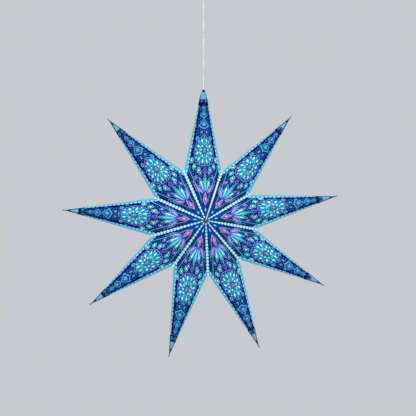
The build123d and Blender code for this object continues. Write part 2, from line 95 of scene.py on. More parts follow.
def zinc_plated_steel():
    """Bluish bright zinc over rolled strip: fine streaks one way and cloudy patches."""
    # Rolling streaks are finer than this, and are drawn wide enough to show
    streak_width, streak_length, patch_width = 0.5, 9.0, 8.0
    material, tree, shader, place = new_finish("zinc_plated_steel")
    drawn = add(tree, "Mapping", {"Vector": place, "Scale": (streak_width / streak_length, 1, 1)})
    streaks = add(tree, "TexNoise", {"Vector": drawn, "Scale": 1 / (streak_width * MM), "Detail": 2})
    patches = add(tree, "TexNoise", {"Vector": place, "Scale": 1 / (patch_width * MM), "Detail": 3})
    tint = add(tree, "MixRGB", (patches, srgb("#a5abb3"), srgb("#ccd0d2")))
    dull = add(tree, "MapRange", {"Value": streaks, "To Min": 0.24, "To Max": 0.46})
    bump = add(tree, "Bump", {"Strength": 0.2, "Distance": 0.05 * MM, "Height": streaks})
    connect(tree, shader, {"Base Color": tint, "Metallic": 1.0, "Roughness": dull, "Normal": bump})
    return material


zinc = zinc_plated_steel()
dress(zinc, "ceiling_bracket", "clamp_screws", "terminal_screws", "stop_screw", "holder_terminal_screws")

# Cord clamp and terminal block: undyed nylon mouldings that grip the flex and join its cores to
# the house wires. The nylon is milky and a little yellow, with flow clouds in it.


def natural_nylon():
    """Soft shine, milky clouds and the fine grain of the mould."""
    # The grain of the mould is drawn coarse enough to show
    cloud_width, grain_width = 7.0, 0.4
    material, tree, shader, place = new_finish("natural_nylon")
    clouds = add(tree, "TexNoise", {"Vector": place, "Scale": 1 / (cloud_width * MM), "Detail": 3})
    tint = add(tree, "MixRGB", (clouds, srgb("#d2d2c6"), srgb("#e8e7de")))
    grain = add(tree, "TexNoise", {"Vector": place, "Scale": 1 / (grain_width * MM), "Detail": 1})
    bump = add(tree, "Bump", {"Strength": 0.12, "Distance": 0.04 * MM, "Height": grain})
    connect(tree, shader, {"Base Color": tint, "Roughness": 0.42, "IOR": 1.53, "Normal": bump})
    return material


dress(natural_nylon(), "cord_clamp", "terminal_block")

# Twin flex: two stranded cores in white PVC, side by side, pulled straight by the star's weight
# and slowly twisted as it came off its reel. It runs from the clamp into the lamp holder.
flex_low, flex_high = (Vector(corner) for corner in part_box("cord"))
flex_width = flex_high.x - flex_low.x
flex_thickness = flex_high.y - flex_low.y
flex_twist, flex_steps = 0.085, 48
flex_route = [(0, 0, flex_high.z), (0, 0, -0.095), (0.0002, 0, -0.150), (0.0003, 0.0001, -0.222),
              (0, 0, -0.275), (0, 0, -0.400), (0, 0, flex_low.z)]


def smooth_route(points, steps):
    """Points along the smooth line that these control points pull."""
    data = bpy.data.curves.new("route", "CURVE")
    data.dimensions = "3D"
    spline = data.splines.new("NURBS")
    spline.points.add(len(points) - 1)
    for control, point in zip(spline.points, points):
        control.co = (*point, 1)
    spline.order_u = 3
    spline.use_endpoint_u = True
    spline.resolution_u = steps
    holder = bpy.data.objects.new("route", data)
    line = bpy.data.meshes.new_from_object(holder)
    found = [vertex.co.copy() for vertex in line.vertices]
    bpy.data.objects.remove(holder)
    bpy.data.curves.remove(data)
    bpy.data.meshes.remove(line)
    return found


def twin_outline():
    """Section of the flex: two touching round cores with a groove on each side."""
    arc_points, arc_reach = 9, 118
    centre = (flex_width - flex_thickness) / 2
    radius = flex_thickness / 2
    turns = [math.radians(arc_reach * (2 * k / (arc_points - 1) - 1)) for k in range(arc_points)]
    return [side * Vector((centre + radius * math.cos(turn), radius * math.sin(turn)))
            for side in (1, -1) for turn in turns]


def add_tube(mesh_maker, line, outline, twist_length, side):
    """Adds a closed tube of this outline along a line, turned once in each twist length."""
    run, last_ring = 0, None
    for k, point in enumerate(line):
        ahead = (line[min(k + 1, len(line) - 1)] - line[max(k - 1, 0)]).normalized()
        side = (side - ahead * side.dot(ahead)).normalized()
        run += (point - line[max(k - 1, 0)]).length
        turn = Matrix.Rotation(2 * math.pi * run / twist_length, 2)
        turned = [turn @ corner for corner in outline]
        ring = [mesh_maker.verts.new(point + side * u + ahead.cross(side) * v) for u, v in turned]
        edges = [mesh_maker.edges.new((ring[n - 1], ring[n])) for n in range(len(ring))]
        if last_ring:
            bmesh.ops.bridge_loops(mesh_maker, edges=last_ring + edges)
        else:
            bmesh.ops.contextual_create(mesh_maker, geom=edges)
        last_ring = edges
    bmesh.ops.contextual_create(mesh_maker, geom=last_ring)


def new_piece(name, mesh_maker, *materials):
    """Makes an object of this name from a finished bmesh, with these materials."""
    mesh = bpy.data.meshes.new(name)
    mesh_maker.to_mesh(mesh)
    mesh_maker.free()
    for material in materials:
        mesh.materials.append(material)
    piece = bpy.data.objects.new(name, mesh)
    bpy.context.scene.collection.objects.link(piece)
    return piece


def smooth_sides(mesh_maker):
    """Outward faces, with the sides shaded smooth and the many-cornered ends left flat."""
    bmesh.ops.recalc_face_normals(mesh_maker, faces=mesh_maker.faces)
    for face in mesh_maker.faces:
        face.smooth = len(face.verts) == 4


def white_pvc():
    """Extruded PVC: soft shine, faint drawing lines and a little grey handling dirt."""
    # Drawing lines are finer than this, and are drawn wide enough to show
    dirt_width, line_width, line_stretch = 18.0, 0.4, 50.0
    material, tree, shader, place = new_finish("white_pvc_flex")
    dirt = add(tree, "TexNoise", {"Vector": place, "Scale": 1 / (dirt_width * MM), "Detail": 4})
    tint = add(tree, "MixRGB", (dirt, srgb("#dddedd"), srgb("#f6f6f4")))
    drawn = add(tree, "Mapping", {"Vector": place, "Scale": (1, 1, 1 / line_stretch)})
    lines = add(tree, "TexNoise", {"Vector": drawn, "Scale": 1 / (line_width * MM), "Detail": 1})
    bump = add(tree, "Bump", {"Strength": 0.2, "Distance": 0.05 * MM, "Height": lines})
    connect(tree, shader, {"Base Color": tint, "Roughness": 0.38, "IOR": 1.53, "Normal": bump})
    return material


flex_line = smooth_route(flex_route, flex_steps)
flex_mesh = bmesh.new()
add_tube(flex_mesh, flex_line, twin_outline(), flex_twist, Vector((1, 0, 0)))
smooth_sides(flex_mesh)
flex = new_piece("twin_flex", flex_mesh, white_pvc())
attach(flex, "pendant")
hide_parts("cord")

# Stripped cores at both ends of the flex: thin coloured PVC on copper strands, bent to their
# terminals by hand.


def core_insulation():
    """Satin PVC with slight scuffs."""
    scuff_width = 2.5
    material, tree, shader, place = new_finish("core_insulation_pvc")
    scuffs = add(tree, "TexNoise", {"Vector": place, "Scale": 1 / (scuff_width * MM), "Detail": 3})
    tint = add(tree, "MixRGB", (scuffs, srgb("#35558f"), srgb("#5878a8")))
    dull = add(tree, "MapRange", {"Value": scuffs, "To Min": 0.35, "To Max": 0.55})
    connect(tree, shader, {"Base Color": tint, "Roughness": dull})
    return material


dress(core_insulation(), "holder_leads", "ceiling_leads")

# Lamp holder and cord stop: a ribbed skirt and cap of white thermoset round a grey core, a pressed
# brass thread and contact, and a soft sleeve on the flex. The stop is a small plug in the top tip.


def moulded(name, dark, light, roughness, grain_width):
    """Moulded plastic: slight clouding, and its tool's spark-eroded grain, coarse enough to show."""
    cloud_width, sheen_below, sheen_above = 22.0, 0.06, 0.08
    material, tree, shader, place = new_finish(name)
    clouds = add(tree, "TexNoise", {"Vector": place, "Scale": 1 / (cloud_width * MM), "Detail": 4})
    tint = add(tree, "MixRGB", (clouds, srgb(dark), srgb(light)))
    grain = add(tree, "TexNoise", {"Vector": place, "Scale": 1 / (grain_width * MM), "Detail": 2})
    bump = add(tree, "Bump", {"Strength": 0.18, "Distance": 0.06 * MM, "Height": grain})
    dull = add(tree, "MapRange", {"Value": clouds, "To Min": roughness - sheen_below,
                                  "To Max": roughness + sheen_above})
    connect(tree, shader, {"Base Color": tint, "Roughness": dull, "IOR": 1.5, "Normal": bump})
    return material


def pressed_brass():
    """Bright where it was drawn, brown where it has tarnished."""
    tarnish_width = 4.0
    material, tree, shader, place = new_finish("pressed_brass")
    tarnish = add(tree, "TexNoise", {"Vector": place, "Scale": 1 / (tarnish_width * MM), "Detail": 4})
    tint = add(tree, "MixRGB", (tarnish, srgb("#a8843c"), srgb("#e2c67c")))
    dull = add(tree, "MapRange", {"Value": tarnish, "To Min": 0.42, "To Max": 0.2})
    connect(tree, shader, {"Base Color": tint, "Metallic": 1.0, "Roughness": dull})
    return material


dress(moulded("white_thermoset", "#dcdbd6", "#ebeae6", 0.34, 0.5), "holder_skirt", "holder_cap")
dress(moulded("grey_thermoset_core", "#c4c1b8", "#d3d0c8", 0.5, 0.5), "holder_insert")
dress(pressed_brass(), "holder_thread", "holder_contact", "holder_terminals")
dress(moulded("soft_white_pvc", "#d4d4d1", "#e4e4e1", 0.6, 0.35), "holder_boot", "canopy_grip")
dress(moulded("stop_plug_plastic", "#d8d8d5", "#e8e8e5", 0.45, 0.4), "cord_stop")

# Lamp: a small globe with light-emitting chips. An opal dome glows evenly over a white body, with
# a nickel-plated screw cap, a black glass insulator and a solder button.


def lit_opal():
    """Opal plastic with the chips' light spread through it."""
    haze_width = 11.0
    material, tree, shader, place = new_finish("lit_opal_dome")
    haze = add(tree, "TexNoise", {"Vector": place, "Scale": 1 / (haze_width * MM), "Detail": 2})
    tint = add(tree, "MixRGB", (haze, srgb("#d6d0c0"), srgb("#e4dece")))
    connect(tree, shader, {"Base Color": tint, "Roughness": 0.3, "Emission Color": tint,
                           "Emission Strength": 0.3})
    return material


def nickel_cap():
    """Nickel on a rolled round thread, which shows as soft rings."""
    thread_pitch, spot_width = 2.82, 3.0
    material, tree, shader, place = new_finish("nickel_screw_cap")
    rounds = add(tree, "TexWave", {"Vector": place, "Scale": math.pi / 10 / (thread_pitch * MM)},
                 bands_direction="Z", wave_profile="SIN")
    spots = add(tree, "TexNoise", {"Vector": place, "Scale": 1 / (spot_width * MM), "Detail": 3})
    tint = add(tree, "MixRGB", (spots, srgb("#b8b3a5"), srgb("#d9d5ca")))
    bump = add(tree, "Bump", {"Strength": 0.8, "Distance": 0.6 * MM, "Height": rounds.outputs["Fac"]})
    connect(tree, shader, {"Base Color": tint, "Metallic": 1.0, "Roughness": 0.28, "Normal": bump})
    return material


def small_inner(name, dark, light, roughness, metallic):
    """Finish of a small piece inside the lamp: two close tones in fine spots."""
    spot_width = 2.0
    material, tree, shader, place = new_finish(name)
    spots = add(tree, "TexNoise", {"Vector": place, "Scale": 1 / (spot_width * MM), "Detail": 2})
    tint = add(tree, "MixRGB", (spots, srgb(dark), srgb(light)))
    connect(tree, shader, {"Base Color": tint, "Metallic": metallic, "Roughness": roughness})
    return material


dress(lit_opal(), "bulb_dome")
dress(moulded("lamp_body_plastic", "#e2e1dc", "#f0efeb", 0.3, 0.6), "bulb_body")
dress(nickel_cap(), "bulb_cap")
dress(small_inner("black_glass_insulator", "#08080a", "#16151a", 0.15, 0.0), "bulb_insulator")
dress(small_inner("solder_button", "#8f9296", "#b8bbbe", 0.4, 1.0), "bulb_tip")
dress(small_inner("white_solder_mask", "#e2e5e2", "#f2f3f1", 0.45, 0.0), "led_board")
dress(small_inner("phosphor_gel", "#e3ca4a", "#f4e072", 0.3, 0.0), "led_chips")

# Tissue liner and paper hinges: thin pale paper glued behind all the card, glowing evenly and
# showing through every punched hole, and white paper strips over the valleys inside.
arm_count = 9


def lit_tissue():
    """Long fibres and cloudy thickness, as in paper held to a light."""
    # Fibres are far finer than this, and are drawn coarse enough to show
    cloud_width, fibre_width = 14.0, 1.2
    material, tree, shader, place = new_finish("lit_tissue_paper")
    clouds = add(tree, "TexNoise", {"Vector": place, "Scale": 1 / (cloud_width * MM), "Detail": 4})
    fibres = add(tree, "TexNoise", {"Vector": place, "Scale": 1 / (fibre_width * MM), "Detail": 3,
                                    "Distortion": 1.5})
    blend = add(tree, "Math", (clouds, fibres), operation="MULTIPLY")
    tint = add(tree, "MixRGB", (blend, srgb("#bde2e0"), srgb("#8fc4c8")))
    connect(tree, shader, {"Base Color": tint, "Roughness": 0.8, "Emission Color": srgb("#ecfffb"),
                           "Emission Strength": 0.5})
    return material


def white_paper():
    """Matte paper with short fibres, drawn coarse enough to show."""
    fibre_width = 1.0
    material, tree, shader, place = new_finish("white_paper")
    fibres = add(tree, "TexNoise", {"Vector": place, "Scale": 1 / (fibre_width * MM), "Detail": 3,
                                    "Distortion": 1.0})
    tint = add(tree, "MixRGB", (fibres, srgb("#d9d8d0"), srgb("#efeee8")))
    bump = add(tree, "Bump", {"Strength": 0.2, "Distance": 0.05 * MM, "Height": fibres})
    connect(tree, shader, {"Base Color": tint, "Roughness": 0.85, "Normal": bump})
    return material


paper = white_paper()
dress(lit_tissue(), *[f"arm_liner_{k + 1}" for k in range(arm_count)])
dress(paper, "tie_patches", *[f"valley_strip_{k + 1}" for k in range(arm_count - 1)])

# Star card: nine arms of printed card, punched by a steel-rule tool. Each arm is four flat plates
# folded at a front and a back ridge and glued at its edges; the top arm is cut open for the flex.
tip_radius, notch_radius, half_depth = 303.0, 116.5, 90.0
arm_lean, arm_sway, arm_stretch = 4.8, 2.5, 0.011
top_spread, top_print_shift, trim_drop, trim_share = 10.0, 13.0, 16.0, 0.5
apex_gap, merge_gap = 0.8, 0.01
card_thickness = 0.3
front, back = -1, 1
star_middle = Vector(next(joint for joint in frame["joints"] if joint["name"] == "star_turn")["pos_m"])
tip_height = (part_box("arm_card_1")[1][2] - star_middle.z) / MM
ridge_length = math.hypot(tip_radius, half_depth)
notch_turn = math.pi / arm_count
edge_length = math.hypot(tip_radius - notch_radius * math.cos(notch_turn),
                         notch_radius * math.sin(notch_turn))


def tip_angle(arm):
    """Direction of an arm in degrees; pulled open by hand, the arms lean a little."""
    turns, place = divmod(arm, arm_count)
    part = math.pi * place / arm_count
    lean = arm_lean * math.sin(part) + arm_sway * math.sin(2 * part)
    return 90 + 360 * (turns + place / arm_count) + lean


def spoke(angle, radius, arm):
    """Point in the star's middle plane; the arms on the left reach a little further."""
    reach = radius * (1 + arm_stretch * math.sin(2 * math.pi * arm / arm_count))
    return Vector((reach * math.cos(math.radians(angle)), 0, reach * math.sin(math.radians(angle))))


def plate_points(arm, face, side):
    """Apex, tip and notch of a plate, in millimetres from the middle; the stop holds the top arm wider."""
    beside = arm + side
    notch_angle = (tip_angle(beside) + tip_angle(beside + 1)) / 2
    reach = tip_radius + (top_spread if arm % arm_count == 0 else 0)
    return (Vector((0, face * half_depth, 0)), spoke(tip_angle(arm), reach, arm),
            spoke(notch_angle, notch_radius, beside + 0.5))


def plate_place(apex, tip, notch):
    """Matrix of a plate whose x runs along the ridge from the apex and whose z points outwards."""
    along = (tip - apex).normalized()
    out = along.cross(notch - apex).normalized()
    out = out if out.dot(apex) > 0 else -out
    turn = Matrix((along, out.cross(along), out)).transposed().to_4x4()
    return Matrix.Translation(apex) @ turn


def plate_corners(arm, apex, tip, notch):
    """Corners of one plate, with the apex corner clipped and the top arm trimmed open round the flex."""
    ends = [tip]
    if arm == 0:
        cuts = ((apex, tip_height), (notch, tip_height), (notch, tip_height - trim_drop))
        ridge, edge, shoulder = (start.lerp(tip, (height - start.z) / (tip.z - start.z))
                                 for start, height in cuts)
        ends = [ridge, ridge.lerp(edge, trim_share), shoulder]
    first = apex + (tip - apex).normalized() * apex_gap
    last = apex + (notch - apex).normalized() * apex_gap
    return [first, *ends, notch, last]


def leaf(middle, turn, length, width):
    """Outline of a pointed oval, turned by an angle in degrees."""
    steps = 6
    outline = []
    for side in (1, -1):
        for k in range(steps):
            x = side * length / 2 * (1 - 2 * k / steps)
            y = side * width / 2 * (1 - (2 * x / length) ** 2)
            outline.append(middle + Matrix.Rotation(math.radians(turn), 2) @ Vector((x, y)))
    return outline


def dot(middle, radius):
    """Outline of a small round hole."""
    steps = 8
    turns = [2 * math.pi * k / steps for k in range(steps)]
    return [middle + radius * Vector((math.cos(turn), math.sin(turn))) for turn in turns]


def ray(start, reach, turn):
    """Flat point at a distance and an angle in degrees from a point on the ridge."""
    return Vector((start + reach * math.cos(math.radians(turn)), reach * math.sin(math.radians(turn))))


rosette_at, rosette_radius = 0.505 * ridge_length, 35.0
rosette_petals, petal_ring, inner_ring, dot_ring = 10, 25.0, 14.0, 31.0
fan_at, fan_step, fan_reach, fan_ring = 0.18 * ridge_length, 24.0, 50.0, 33.0
bead_step, bead_ring = 16.0, 56.5
garland_turns, garland_ring, bud_radius = (104.0, 128.0, 152.0), 45.5, 6.4
petal_hole, inner_hole, fan_hole = (9.0, 4.4), (6.5, 3.2), (14.0, 4.4)
dot_hole, neck_hole, bead_hole, bud_hole = 1.4, 1.2, 1.8, 2.6
neck_ring = 0.68 * petal_ring


def punched_holes():
    """Holes of one plate: x along the ridge from the apex, y away from the ridge."""
    half_step = 180 / rosette_petals
    petal_turns = [half_step * k for k in range(1, rosette_petals, 2)]
    gap_turns = [half_step * k for k in range(2, rosette_petals - 1, 2)]
    holes = [leaf(ray(rosette_at, petal_ring, turn), turn, *petal_hole) for turn in petal_turns]
    holes += [leaf(ray(rosette_at, inner_ring, turn), turn, *inner_hole) for turn in gap_turns]
    holes += [dot(ray(rosette_at, dot_ring, turn), dot_hole) for turn in gap_turns]
    holes += [dot(ray(rosette_at, neck_ring, turn), neck_hole) for turn in petal_turns]
    holes.append(leaf(ray(fan_at, fan_ring, fan_step), fan_step, *fan_hole))
    holes += [dot(ray(fan_at, bead_ring, turn), bead_hole) for turn in (bead_step, 2 * bead_step)]
    holes += [dot(ray(rosette_at, garland_ring, turn), bud_hole) for turn in garland_turns]
    return holes


def flat_sheet(loops):
    """Flat mesh of an outline and the holes in it."""
    data = bpy.data.curves.new("sheet", "CURVE")
    data.dimensions = "2D"
    data.fill_mode = "BOTH"
    for loop in loops:
        spline = data.splines.new("POLY")
        spline.points.add(len(loop) - 1)
        for control, point in zip(spline.points, loop):
            control.co = (point[0], point[1], 0, 1)
        spline.use_cyclic_u = True
    holder = bpy.data.objects.new("sheet", data)
    flat = bpy.data.meshes.new_from_object(holder)
    bpy.data.objects.remove(holder)
    bpy.data.curves.remove(data)
    return flat


def line_gap(point, start, end):
    """Distance of a flat point from a flat line, and how far along that line it is."""
    step = (end - start).normalized()
    offset = point - start
    return abs(step.x * offset.y - step.y * offset.x), step.dot(offset)


def add_plate(mesh_maker, arm, face, side):
    """Adds one punched plate, with millimetres along its ridge and its border as UV maps."""
    apex, tip, notch = plate_points(arm, face, side)
    place = plate_place(apex, tip, notch)
    to_flat = place.inverted()
    flat_tip, flat_notch = ((to_flat @ point).to_2d() for point in (tip, notch))
    hand = math.copysign(1, flat_notch.y)
    outline = [(to_flat @ corner).to_2d() for corner in plate_corners(arm, apex, tip, notch)]
    holes = [[(x, hand * y) for x, y in hole] for hole in punched_holes()]
    flat = flat_sheet([outline] + holes)
    sheet = bmesh.new()
    sheet.from_mesh(flat)
    bmesh.ops.reverse_faces(sheet, faces=[made for made in sheet.faces if made.normal.z < 0])
    maps = [sheet.loops.layers.uv.new(name) for name in ("print", "border", "beads", "seam")]
    on_seam = (arm + side) % arm_count == arm_count - 1
    print_end = top_print_shift if arm == 0 else 0
    for loop in [loop for made in sheet.faces for loop in made.loops]:
        spot = loop.vert.co.to_2d()
        edge, edge_run = line_gap(spot, flat_tip, flat_notch)
        valley, valley_run = line_gap(spot, Vector((0, 0)), flat_notch)
        pairs = ((spot.x, abs(spot.y)), (edge, valley), (edge_run - print_end, valley_run), (on_seam, 0))
        for layer, pair in zip(maps, pairs):
            loop[layer].uv = pair
    bmesh.ops.transform(sheet, verts=sheet.verts, matrix=place)
    sheet.to_mesh(flat)
    sheet.free()
    mesh_maker.from_mesh(flat)
    bpy.data.meshes.remove(flat)


def paint(tree, under, colour, reach, limit, soft=0.5):
    """Lays a colour over what is under it wherever reach is below a limit, with a soft edge."""
    cover = add(tree, "MapRange", {"Value": reach, "From Min": limit + soft / 2,
                                   "From Max": limit - soft / 2})
    over = srgb(colour) if isinstance(colour, str) else colour
    return add(tree, "MixRGB", (cover, under, over))


def scaled_spot(tree, spot, middle, size):
    """Place on the plate, measured from a middle with each axis divided by a size."""
    scale = [1 / size[0], 1 / size[1], 0]
    shift = [-middle[0] / size[0], -middle[1] / size[1], 0]
    return add(tree, "VectorMath", (spot, scale, shift), operation="MULTIPLY_ADD")


def round_spot(tree, spot, middle, size=(1, 1)):
    """Distance and direction from a place on the plate."""
    moved = scaled_spot(tree, spot, middle, size)
    reach = add(tree, "VectorMath", (moved,), operation="LENGTH").outputs["Value"]
    across, up, _ = add(tree, "SeparateXYZ", (moved,)).outputs
    return reach, add(tree, "Math", (up, across), operation="ARCTAN2")


def diamond_spot(tree, spot, middle, size):
    """Diamond distance from a place on the plate: 1 on the diamond's edge."""
    folded = add(tree, "VectorMath", (scaled_spot(tree, spot, middle, size),), operation="ABSOLUTE")
    return add(tree, "VectorMath", (folded, (1, 1, 0)), operation="DOT_PRODUCT").outputs["Value"]


def row_spot(tree, run, inset, period, level, flatten=1.0):
    """Distance from the nearest of a row of marks along a border line."""
    along = add(tree, "Math", (run, period / 2), operation="PINGPONG")
    off = add(tree, "Math", (inset, flatten, -level * flatten), operation="MULTIPLY_ADD")
    spot = add(tree, "CombineXYZ", (along, off))
    return add(tree, "VectorMath", (spot,), operation="LENGTH").outputs["Value"]


def paint_bands(tree, under, reach, bands, soft=0.6):
    """Lays nested bands of colour over what is under them, the widest first."""
    layer = under
    for limit, colour in bands:
        layer = paint(tree, layer, colour, reach, limit, soft)
    return layer


outline_ink, magenta_ink = "#040a40", "#a820a8"
diamond_soft = 0.08


def print_ground(tree, spot, edge_inset, valley_inset):
    """Deep blue ground that changes along the arm, in small dots, with plain bands at its borders."""
    dot_pitch, dot_radius = 6.4, 1.5
    valley_band, edge_band = 15.4, 27.0
    x, _, _ = add(tree, "SeparateXYZ", (spot,)).outputs
    share = add(tree, "Math", (x, ridge_length), operation="DIVIDE")
    field = add(tree, "ValToRGB", (share,))
    stops = ((0.05, "#06245c"), (0.20, "#061a6c"), (0.36, "#05166e"), (0.60, "#041c68"),
             (0.70, "#101c88"), (0.82, "#0a1264"), (0.96, "#030a3a"))
    ramp = field.color_ramp.elements
    for place, _ in stops[1:-1]:
        ramp.new(place)
    for element, (place, colour) in zip(ramp, stops):
        element.position = place
        element.color = srgb(colour)
    half = dot_pitch / 2
    cell = add(tree, "VectorMath", (spot, (half, half, half), (-half, -half, -half)), operation="WRAP")
    near = add(tree, "VectorMath", (cell,), operation="LENGTH").outputs["Value"]
    layer = paint(tree, field, "#2a96d2", near, dot_radius, soft=0.9)
    layer = paint(tree, layer, "#030c5a", valley_inset, valley_band, soft=0.8)
    return paint(tree, layer, "#040e72", edge_inset, edge_band, soft=0.8)


def print_fan(tree, under, spot):
    """Fan of pointed petals in turquoise, blue and violet, opening to the tip under an arc of beads."""
    petal_half_width, off_the_fan = 6.4, 50.0
    reach, turn = round_spot(tree, spot, (fan_at, 0))
    step = math.radians(fan_step)
    swing = add(tree, "Math", (turn, step), operation="PINGPONG")
    other = add(tree, "Math", (step, swing), operation="SUBTRACT")
    near = add(tree, "Math", (swing, other), operation="MINIMUM")
    arc = add(tree, "Math", (near, reach), operation="MULTIPLY")
    phase = add(tree, "Math", (reach, math.pi / fan_reach), operation="MULTIPLY")
    swell = add(tree, "Math", (phase,), operation="SINE")
    petal = add(tree, "Math", (swell, -petal_half_width, arc), operation="MULTIPLY_ADD")
    past_first, past_second, past_last = (
        add(tree, "Math", (turn, (k + 0.5) * step), operation="GREATER_THAN") for k in range(3))
    too_far = add(tree, "Math", (reach, fan_reach), operation="GREATER_THAN")
    outside = add(tree, "Math", (too_far, past_last), operation="MAXIMUM")
    petal = add(tree, "Math", (outside, off_the_fan, petal), operation="MULTIPLY_ADD")
    tint = add(tree, "MixRGB", (past_first, srgb("#0f94c4"), srgb("#1470c4")))
    tint = add(tree, "MixRGB", (past_second, tint, srgb("#6440c4")))
    core = add(tree, "MixRGB", (past_second, srgb("#84e6ee"), srgb("#c49cea")))
    bands = ((1.8, "#050b44"), (0.6, "#74d0e8"), (-0.8, tint.outputs[0]), (-3.6, core.outputs[0]))
    layer = paint_bands(tree, under, petal, bands)
    run = add(tree, "Math", (turn, bead_ring), operation="MULTIPLY")
    bead = row_spot(tree, run, reach, math.radians(bead_step) * bead_ring, bead_ring)
    return paint_bands(tree, layer, bead, ((6.6, outline_ink), (5.6, "#9490ee"), (4.2, "#4038b4")))


def print_rosette(tree, under, spot):
    """Scalloped turquoise wheel in a violet rim, with rings of haloed holes round a magenta eye."""
    lobe_count, lobe_depth = 2.0 * rosette_petals, 0.9
    # Each halo's pull, lower for a longer shape, and its half width
    petal_halo, inner_halo, dot_halo, halo_rim = (0.5, 5.2), (0.6, 3.9), (1.0, 3.6), 1.0
    rims = ((3.2, outline_ink), (1.2, "#8490ec"), (-0.8, "#2c3cb0"), (-6.4, "#5ccce2"), (-7.6, "#0c9ec2"))
    eye = ((8.4, "#0b4f94"), (6.0, "#2fb4d2"), (4.4, magenta_ink), (1.8, "#d8c8f6"))
    reach, turn = round_spot(tree, spot, (rosette_at, 0))
    lobes = add(tree, "Math", (turn, lobe_count), operation="MULTIPLY")
    lobe = add(tree, "Math", (lobes,), operation="COSINE")
    edge = add(tree, "Math", (lobe, lobe_depth, reach), operation="MULTIPLY_ADD")
    wheel = [(rosette_radius + rim, colour) for rim, colour in rims]
    layer = paint_bands(tree, under, edge, wheel, soft=0.8)
    half_step = math.pi / rosette_petals
    swing = add(tree, "Math", (turn, half_step), operation="PINGPONG")
    side = add(tree, "Math", (half_step, swing), operation="SUBTRACT")
    rings = ((side, petal_ring, petal_halo), (swing, inner_ring, inner_halo), (swing, dot_ring, dot_halo))
    for angle, ring, (pull, size) in rings:
        arc = add(tree, "Math", (angle, reach), operation="MULTIPLY")
        off = add(tree, "Math", (reach, ring), operation="SUBTRACT")
        gap = add(tree, "Math", (off,), operation="ABSOLUTE")
        halo = add(tree, "Math", (gap, pull, arc), operation="MULTIPLY_ADD")
        layer = paint_bands(tree, layer, halo, ((size, "#066494"), (size - halo_rim, "#38c6dc")))
    return paint_bands(tree, layer, reach, eye)


def print_buds(tree, under, spot):
    """Turquoise buds: a garland round the inner half of the wheel, and two small ones past it."""
    small_buds = [((194.0, 24.0), 4.4), ((204.0, 9.0), 3.0)]
    garland = [(ray(rosette_at, garland_ring, turn), bud_radius) for turn in garland_turns]
    rims = ((1.4, outline_ink), (0.2, "#74dcea"), (-1.4, "#0f90b6"))
    layer = under
    for middle, radius in garland + small_buds:
        reach, _ = round_spot(tree, spot, middle)
        layer = paint_bands(tree, layer, reach, [(radius + rim, colour) for rim, colour in rims])
    return layer


def print_diamonds(tree, under, spot):
    """Three diamonds that shrink towards the tip, turquoise in pale blue frames."""
    diamonds = ((221.0, (14.0, 20.0)), (244.0, (10.5, 14.0)), (260.0, (6.5, 8.0)))
    bands = ((1.14, outline_ink), (1.0, "#6cbce6"), (0.80, "#1c44b0"), (0.52, "#12a0c4"),
             (0.26, "#8ee8f0"), (0.14, "#1c5cb8"))
    layer = under
    for middle, size in diamonds:
        layer = paint_bands(tree, layer, diamond_spot(tree, spot, (middle, 0), size), bands, diamond_soft)
    return layer


def print_middle(tree, under, spot):
    """Plain strong blue round the middle, under the beaded valleys."""
    field_radius, fade_width = 46.0, 12.0
    apex = add(tree, "VectorMath", (spot,), operation="LENGTH").outputs["Value"]
    return paint(tree, under, "#0a4298", apex, field_radius, fade_width)


def print_fold(tree, under, spot):
    """Magenta diamond and a stud on the ridge fold near the middle, and dark blue where the folds meet."""
    diamond_at, diamond_size = (48.0, 0), (15.0, 9.5)
    stud_at, stud_stretch = (24.0, 0), (1.5, 1)
    meeting_radius, fade_width = 7.0, 5.0
    reach = diamond_spot(tree, spot, diamond_at, diamond_size)
    bands = ((1.16, outline_ink), (1.0, "#c4b0f4"), (0.72, magenta_ink), (0.34, "#ecc4f2"))
    layer = paint_bands(tree, under, reach, bands, diamond_soft)
    stud, _ = round_spot(tree, spot, stud_at, stud_stretch)
    layer = paint_bands(tree, layer, stud, ((3.8, "#0a1460"), (3.0, "#48b0d8"), (1.6, "#c4f4ee")))
    apex = add(tree, "VectorMath", (spot,), operation="LENGTH").outputs["Value"]
    return paint(tree, layer, "#0c2a5a", apex, meeting_radius, fade_width)


def print_lines(tree, under, edge, edge_run, valley, valley_run):
    """Studs in the blue bands, dotted lines beside the valleys, and dark stripes inside the borders."""
    stud_pitch, stud_inset, stud_squash = 46.0, 17.0, 0.8
    near_pitch, near_inset, near_radius = 3.4, 10.4, 1.0
    far_pitch, far_inset, far_radius = 2.8, 15.6, 1.2
    valley_stripe, edge_stripe = 7.8, 13.0
    stud = row_spot(tree, edge_run, edge, stud_pitch, stud_inset, stud_squash)
    layer = paint_bands(tree, under, stud, ((4.2, "#1f96c0"), (2.2, "#08347c")))
    near_row = row_spot(tree, valley_run, valley, near_pitch, near_inset)
    layer = paint(tree, layer, "#2c78cc", near_row, near_radius)
    far_row = row_spot(tree, valley_run, valley, far_pitch, far_inset)
    layer = paint(tree, layer, "#66cee6", far_row, far_radius, soft=0.7)
    layer = paint(tree, layer, "#02063a", valley, valley_stripe)
    return paint(tree, layer, "#02063e", edge, edge_stripe)


